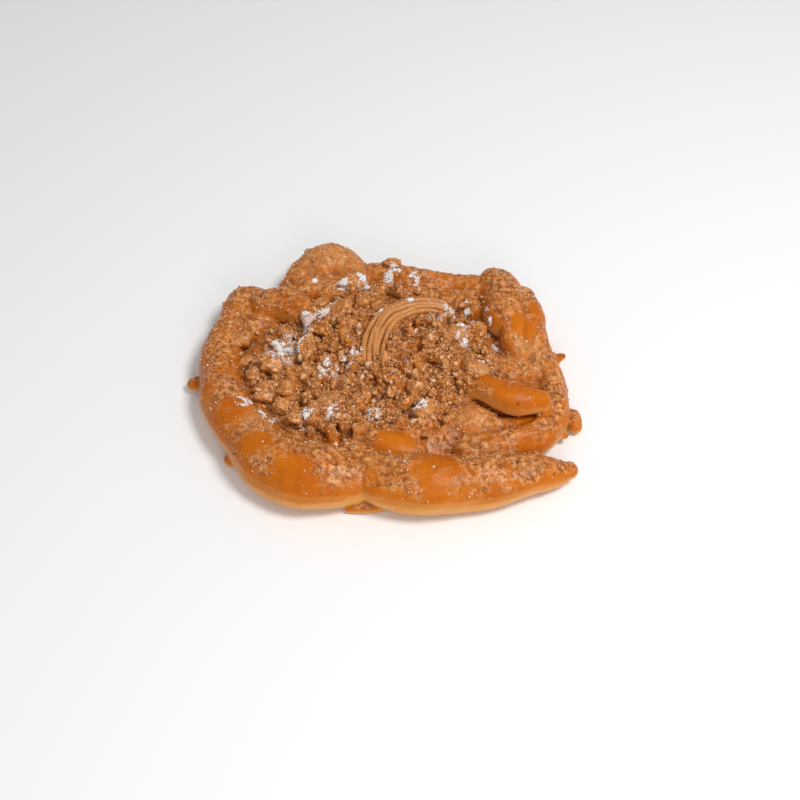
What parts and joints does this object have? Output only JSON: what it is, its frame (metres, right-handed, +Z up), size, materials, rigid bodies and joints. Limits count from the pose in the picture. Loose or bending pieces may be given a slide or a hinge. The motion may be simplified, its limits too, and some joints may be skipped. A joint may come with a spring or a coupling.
{
  "type": "funnel cake",
  "caption": "Fried dough cake: thick strands poured across each other and fused, with a raised swirl, nuggets, crumbs and a flat underside.",
  "frame": {"origin": "middle of the footprint, on the surface that the cake rests on", "axes": "+Z up; -Y is the cake's front, towards the eater; +X is to the eater's right, along the cake's length"},
  "size_m": [0.1716, 0.1484, 0.0285],
  "materials": {
    "fried_dough": "golden brown fried crust, slightly glossy",
    "cinnamon_crumbs": "rough crumbs of fried batter and cinnamon sugar",
    "powdered_sugar": "matt white powder"
  },
  "bodies": {
    "root": {"funnel_cake": "fried_dough"}
  },
  "joints": []
}
